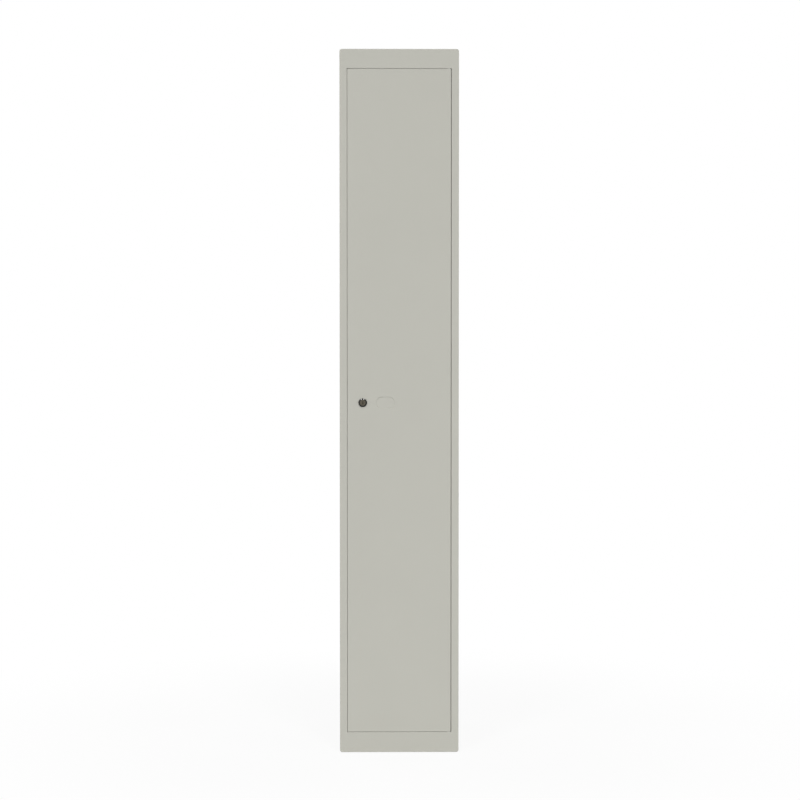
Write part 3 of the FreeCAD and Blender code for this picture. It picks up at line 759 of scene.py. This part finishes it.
@dataclass
class SheetWork(Assembly):
    """A sub-assembly of folded sheet with spot welds."""

    sheet: float = 0.9 * MILLIMETRE
    weld_pitch: float = 100 * MILLIMETRE
    weld_inset: float = 8 * MILLIMETRE
    end_clearance: float = 30 * MILLIMETRE
    marks_name: ClassVar[str] = ""
    body: ClassVar[Body] = Body.CARCASS

    def weld_rows(self) -> list[WeldRow]:
        """The rows of welds that the sub-assembly shows."""
        return []

    def build(self) -> None:
        """Dress the sheets and press the weld marks into them."""
        super().build()
        paint = self.finishes.materials[Slot.PAINT]
        marks = WeldMarks().make(self.marks_name, self.weld_rows(), paint)
        self.keep(marks, self.body, Slot.PAINT)


@dataclass
class Carcass(SheetWork):
    """The welded box: sides, top, floor, back, shelf, lock keeper and buffers."""

    keeper_weld_spread: float = 25 * MILLIMETRE
    nodes: ClassVar[tuple[str, ...]] = (
        "left_side_panel",
        "right_side_panel",
        "top_panel",
        "floor_pan",
        "back_panel",
        "hat_shelf",
        "lock_keeper",
        "door_buffers",
    )
    marks_name: ClassVar[str] = "carcass_weld_marks"

    def _back_rows(self) -> list[WeldRow]:
        """Place the welds up both edges of the back panel.

        Returns:
            The rows above and below the shelf.
        """
        low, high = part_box("back_panel")
        floor_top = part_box("floor_pan")[1].z
        shelf_low, shelf_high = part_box("hat_shelf")
        spans = [(floor_top, shelf_low.z), (shelf_high.z, high.z)]
        return [
            WeldRow(
                Vector((side, low.y, bottom + self.end_clearance)),
                Vector((side, low.y, top - self.end_clearance)),
                Facing.FRONT,
                self.weld_pitch,
            )
            for side in (low.x + self.weld_inset, high.x - self.weld_inset)
            for bottom, top in spans
        ]

    def _shelf_rows(self) -> list[WeldRow]:
        """Place the welds along three of the shelf's flanges.

        Returns:
            The rows on the side flanges and the rear flange.
        """
        low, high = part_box("hat_shelf")
        height = high.z - self.weld_inset
        inner = high.x - self.sheet
        front, rear = low.y + self.end_clearance, high.y - self.end_clearance
        rows = [
            WeldRow(Vector((face, front, height)), Vector((face, rear, height)), facing, self.weld_pitch)
            for face, facing in ((-inner, Facing.RIGHT), (inner, Facing.LEFT))
        ]
        return rows + [self._cross_row(high.y - self.sheet, height, inner - self.end_clearance)]

    def _cross_row(self, y: float, height: float, half: float) -> WeldRow:
        """Welds across the locker on a face that looks to the front."""
        return WeldRow(Vector((-half, y, height)), Vector((half, y, height)), Facing.FRONT, self.weld_pitch)

    def _keeper_row(self) -> WeldRow:
        """Place two welds on the back of the lock keeper.

        Returns:
            The row.
        """
        low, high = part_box("lock_keeper")
        middle = (low + high) / 2
        reach = Vector((0.0, 0.0, self.keeper_weld_spread))
        centre = Vector((middle.x, high.y, middle.z))
        return WeldRow(centre - reach, centre + reach, Facing.REAR, 2 * self.keeper_weld_spread)

    def weld_rows(self) -> list[WeldRow]:
        """Place the carcass's welds.

        Returns:
            The rows on the back, the shelf, the floor and the keeper.
        """
        floor_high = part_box("floor_pan")[1]
        half = floor_high.x - self.end_clearance
        floor_row = self._cross_row(floor_high.y - self.sheet, floor_high.z - self.weld_inset, half)
        return [*self._back_rows(), *self._shelf_rows(), floor_row, self._keeper_row()]


@dataclass
class Door(SheetWork):
    """The door pan, its stiffener and the plates that take the pivots."""

    flange_width: float = 13 * MILLIMETRE
    plate_weld_insets: tuple[float, float] = (4 * MILLIMETRE, 16 * MILLIMETRE)
    nodes: ClassVar[tuple[str, ...]] = (
        "door_skin",
        "door_stiffener",
        "lower_pivot_plate",
        "upper_pivot_plate",
    )
    marks_name: ClassVar[str] = "door_weld_marks"
    body: ClassVar[Body] = Body.DOOR

    def _plate_row(self, node: str, facing: Facing) -> WeldRow:
        """Place two welds on the inner face of a pivot plate, clear of its bush.

        Args:
            node: Name of the plate.
            facing: Way that its inner face looks.

        Returns:
            The row.
        """
        low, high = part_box(node)
        face = high.z if facing is Facing.UP else low.z
        middle = (low.y + high.y) / 2
        start, end = (Vector((low.x + inset, middle, face)) for inset in self.plate_weld_insets)
        return WeldRow(start, end, facing, (end - start).length)

    def weld_rows(self) -> list[WeldRow]:
        """Place the door's welds.

        Returns:
            The rows up both flanges of the stiffener, and on the pivot plates.
        """
        low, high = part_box("door_stiffener")
        face = low.y + self.sheet
        rows = [
            WeldRow(
                Vector((column, face, low.z + self.end_clearance)),
                Vector((column, face, high.z - self.end_clearance)),
                Facing.REAR,
                self.weld_pitch,
            )
            for column in (low.x + self.flange_width / 2, high.x - self.flange_width / 2)
        ]
        rows.append(self._plate_row("lower_pivot_plate", Facing.UP))
        rows.append(self._plate_row("upper_pivot_plate", Facing.DOWN))
        return rows


@dataclass
class PivotHinges(Assembly):
    """The pins in the frame and the bushes in the door."""

    nodes: ClassVar[tuple[str, ...]] = (
        "lower_hinge_pin",
        "upper_hinge_pin",
        "lower_hinge_bush",
        "upper_hinge_bush",
    )


@dataclass
class CoatHook(Assembly):
    """The double hook under the shelf and its rivets."""

    nodes: ClassVar[tuple[str, ...]] = ("coat_hook", "coat_hook_rivets")


@dataclass
class LockSet(Assembly):
    """The cam lock, with a thread on its barrel."""

    barrel_radius: float = 9.2 * MILLIMETRE
    barrel_flat: float = 8.05 * MILLIMETRE
    thread_pitch: float = 1.0 * MILLIMETRE
    thread_ridge: float = 0.32 * MILLIMETRE
    thread_gap_at_nut: float = 0.9 * MILLIMETRE
    thread_gap_at_cam: float = 1.8 * MILLIMETRE
    nodes: ClassVar[tuple[str, ...]] = (
        "lock_housing",
        "lock_washer",
        "lock_nut",
        "lock_plug",
        "lock_wafers",
        "lock_cam",
        "cam_screw",
    )

    def build(self) -> None:
        """Dress the lock and cut its thread."""
        super().build()
        axis = joint_place("lock_turn")
        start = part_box("lock_nut")[1].y + self.thread_gap_at_nut
        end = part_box("lock_cam")[0].y - self.thread_gap_at_cam
        thread = BarrelThread().piece(
            "lock_barrel_thread",
            bpy.data.meshes.new("thread_start"),
            {
                "Radius": self.barrel_radius,
                "Pitch": self.thread_pitch,
                "Length": end - start,
                "Ridge": self.thread_ridge,
                "Flat": self.barrel_flat,
                "Root": (axis.x, start, axis.z),
                "Finish": self.finishes.materials[Slot.ZINC],
            },
        )
        self.keep(thread, Body.DOOR, Slot.ZINC)


@dataclass(frozen=True)
class SoftLight:
    """A wide, far-off soft box, placed by its angles in degrees seen from the locker."""

    name: str
    azimuth: float
    elevation: float
    strength: float
    spread: float

    def build(self) -> None:
        """Hang the light; an azimuth of 0 is in front and 90 is to the right."""
        lamp = bpy.data.lights.new(self.name, "SUN")
        lamp.energy = self.strength
        lamp.angle = math.radians(self.spread)
        light = bpy.data.objects.new(self.name, lamp)
        light.rotation_euler = (math.radians(90 - self.elevation), 0.0, math.radians(self.azimuth))
        bpy.context.scene.collection.objects.link(light)
        log.info("%s: light at %g, %g degrees", self.name, self.azimuth, self.elevation)


@dataclass(frozen=True)
class Studio:
    """A white room with a pale floor, lit softly from all sides."""

    lights: tuple[SoftLight, ...] = (
        SoftLight("left_wall_light", azimuth=-68, elevation=17, strength=0.62, spread=34),
        SoftLight("right_wall_light", azimuth=68, elevation=17, strength=0.73, spread=34),
        SoftLight("left_key_light", azimuth=-26, elevation=44, strength=0.82, spread=12),
        SoftLight("right_key_light", azimuth=18, elevation=47, strength=0.82, spread=12),
        SoftLight("left_rear_light", azimuth=-140, elevation=25, strength=0.75, spread=50),
        SoftLight("right_rear_light", azimuth=140, elevation=25, strength=0.75, spread=50),
    )
    fill: float = 0.25
    floor_half: float = 12.0
    floor_drop: float = 0.3 * MILLIMETRE
    floor_tone: float = 0.80
    near_white: float = 0.90
    shadow_reach: tuple[float, float] = (0.45, 1.6)

    def _world(self) -> None:
        """White to look at, and a softer fill as light."""
        world = bpy.data.worlds.new("white_room")
        world.use_nodes = True
        bpy.context.scene.world = world
        nodes = NodeBuilder(world.node_tree)
        background = next(node for node in world.node_tree.nodes if node.type == "BACKGROUND")
        nodes.connect(background.inputs["Color"], WHITE)
        nodes.connect(background.inputs["Strength"], self.fill + (1 - self.fill) * nodes.seen_directly())

    def _whiteness(self, shader: Shader) -> Link:
        """Let the floor be a little less than white near the locker, so that its shadow shows.

        Args:
            shader: Nodes of the floor's material.

        Returns:
            Share of plain white.
        """
        flat = {"Vector": shader.place, "Vector_001": (1.0, 1.0, 0.0)}
        level = shader.add("ShaderNodeVectorMath", {"operation": "MULTIPLY"}, flat, "Vector")
        distance = shader.add("ShaderNodeVectorMath", {"operation": "LENGTH"}, {"Vector": level}, "Value")
        near, far = self.shadow_reach
        sockets = {
            "Value": distance,
            "From Min": near,
            "From Max": far,
            "To Min": self.near_white,
            "To Max": 1.0,
        }
        return shader.add("ShaderNodeMapRange", {"interpolation_type": "SMOOTHSTEP"}, sockets, "Result")

    def _floor_material(self) -> bpy.types.Material:
        """Make the floor pale and matt, and white to look at but for the locker's shadow.

        Returns:
            The floor's material.
        """
        shader = Shader("pale_floor")
        tone = (self.floor_tone,) * 3
        shader.finish({"Base Color": tone, "Roughness": 1.0, "Specular IOR Level": 0.0})
        surface = Link(shader.surface.outputs["BSDF"])
        glow = shader.add("ShaderNodeEmission", None, {"Color": WHITE, "Strength": 1.0})
        share = self._whiteness(shader) * shader.seen_directly()
        sockets = {"Fac": share, "Shader": surface, "Shader_001": glow}
        mixed = shader.add("ShaderNodeMixShader", None, sockets)
        out = next(node for node in shader.tree.nodes if node.type == "OUTPUT_MATERIAL")
        shader.connect(out.inputs["Surface"], mixed)
        return shader.material

    def _floor(self) -> None:
        """Lay the floor just under the locker's feet."""
        half, level = self.floor_half, -self.floor_drop
        corners = [(-half, -half, level), (half, -half, level), (half, half, level), (-half, half, level)]
        mesh = bpy.data.meshes.new("studio_floor")
        mesh.from_pydata(corners, [], [(0, 1, 2, 3)])
        mesh.materials.append(self._floor_material())
        floor = bpy.data.objects.new("studio_floor", mesh)
        bpy.context.scene.collection.objects.link(floor)

    def build(self) -> None:
        """Set up the room, the floor and the lights."""
        bpy.context.scene.view_settings.view_transform = "Standard"
        self._world()
        self._floor()
        for light in self.lights:
            light.build()


@dataclass(frozen=True)
class Viewpoint:
    """The camera: a long lens in front of the locker, a little to the left of its middle.

    Its angles are in degrees, and the lens and the sensor in millimetres.
    """

    eye: tuple[float, float, float] = (-0.0504, -5.2285, 1.0541)
    tilt: float = -1.686
    turn: float = -0.599
    lens: float = 87.9
    sensor: float = 36.0

    def build(self) -> None:
        """Place the camera and make it the scene's own."""
        camera = bpy.data.cameras.new("front_camera")
        camera.lens = self.lens
        camera.sensor_width = self.sensor
        eye = bpy.data.objects.new("front_camera", camera)
        eye.location = self.eye
        eye.rotation_euler = (math.radians(90 + self.tilt), 0.0, math.radians(self.turn))
        bpy.context.scene.collection.objects.link(eye)
        bpy.context.scene.camera = eye


def main() -> None:
    """Build the locker's sub-assemblies, then the studio and the camera."""
    logging.basicConfig(level=logging.INFO, format="%(name)s: %(message)s")
    finishes = FinishBook()
    for assembly in (Carcass, CoatHook, Door, PivotHinges, LockSet):
        log.info("%s", assembly.__name__)
        assembly(finishes).build()
    Studio().build()
    Viewpoint().build()


if __name__ == "__main__":
    main()
